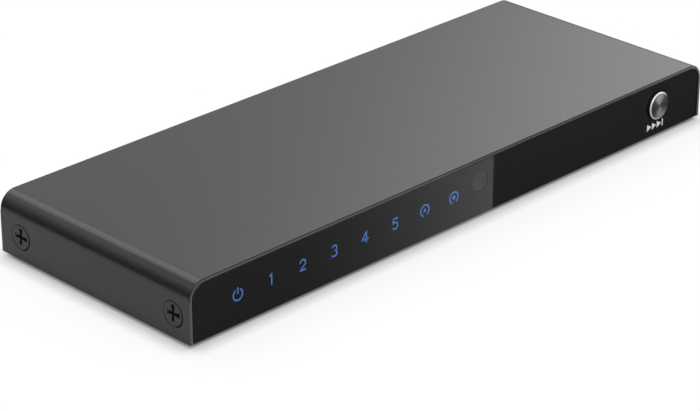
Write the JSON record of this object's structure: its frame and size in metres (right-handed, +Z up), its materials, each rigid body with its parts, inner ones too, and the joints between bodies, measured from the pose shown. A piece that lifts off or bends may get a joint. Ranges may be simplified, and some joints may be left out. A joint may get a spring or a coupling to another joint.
{
  "type": "video switch box",
  "caption": "Low sheet-metal video switch box with rounded shoulders, a glossy front panel with lit marks and a push button, and a row of sockets at the rear.",
  "frame": {"origin": "centre of the footprint, on the surface that the feet stand on", "axes": "+Z up, +X to the right as seen from the front, and the front panel faces -Y"},
  "size_m": [0.178, 0.0669, 0.0161],
  "materials": {
    "cover_coat": "satin dark grey powder coat on steel sheet",
    "tray_coat": "satin dark grey powder coat on steel sheet",
    "screw_steel": "zinc plated steel",
    "panel_acrylic": "polished black acrylic sheet",
    "tape_foam": "double sided adhesive tape",
    "ir_acrylic": "infrared pass acrylic",
    "foot_rubber": "black silicone rubber",
    "button_aluminium": "spun face with a polished rim",
    "stem_plastic": "moulded white plastic",
    "black_plastic": "moulded black plastic",
    "board_laminate": "green solder mask on glass laminate",
    "bright_steel": "bright nickel plated steel",
    "lamp_plastic": "moulded lamp housing",
    "contact_brass": "gold flashed contact brass"
  },
  "bodies": {
    "case": {"top_cover": "cover_coat", "base_tray": "tray_coat", "cover_screws": "screw_steel", "front_panel": "panel_acrylic", "front_panel_tape": "tape_foam", "ir_window": "ir_acrylic", "foot_front_left": "foot_rubber", "foot_front_right": "foot_rubber", "foot_rear_left": "foot_rubber", "foot_rear_right": "foot_rubber", "tact_switch_body": "black_plastic", "main_board": "board_laminate", "board_standoffs": "bright_steel", "board_screws": "bright_steel", "indicator_leds": "lamp_plastic", "led_baffle": "black_plastic", "ir_receiver": "black_plastic", "switch_chip": "black_plastic", "control_chip": "black_plastic", "voltage_regulator": "black_plastic", "power_inductor": "black_plastic", "bulk_capacitors": "bright_steel", "clock_crystal": "bright_steel", "surge_arrays": "black_plastic", "dc_jack_body": "black_plastic", "dc_jack_pin": "contact_brass", "dc_jack_leaf": "contact_brass", "video_output_shell": "bright_steel", "video_output_tongue": "black_plastic", "video_output_contacts": "contact_brass", "video_input_1_shell": "bright_steel", "video_input_1_tongue": "black_plastic", "video_input_1_contacts": "contact_brass", "video_input_2_shell": "bright_steel", "video_input_2_tongue": "black_plastic", "video_input_2_contacts": "contact_brass", "video_input_3_shell": "bright_steel", "video_input_3_tongue": "black_plastic", "video_input_3_contacts": "contact_brass", "video_input_4_shell": "bright_steel", "video_input_4_tongue": "black_plastic", "video_input_4_contacts": "contact_brass", "video_input_5_shell": "bright_steel", "video_input_5_tongue": "black_plastic", "video_input_5_contacts": "contact_brass"},
    "select_button": {"select_button_cap": "button_aluminium", "select_button_stem": "stem_plastic"},
    "tact_plunger": {"tact_switch_plunger": "black_plastic"}
  },
  "joints": [
    {"name": "select_press", "type": "slide", "parent": "case", "child": "select_button", "axis": [0, 1, 0], "range_m": [0, 0.0005], "stiffness_N_per_m": 600, "springref_m": -0.002},
    {"name": "plunger_press", "type": "slide", "parent": "case", "child": "tact_plunger", "axis": [0, 1, 0], "range_m": [0, 0.0005]}
  ],
  "couplings": [
    {"joint": "plunger_press", "follows": "select_press", "ratio": 1}
  ]
}
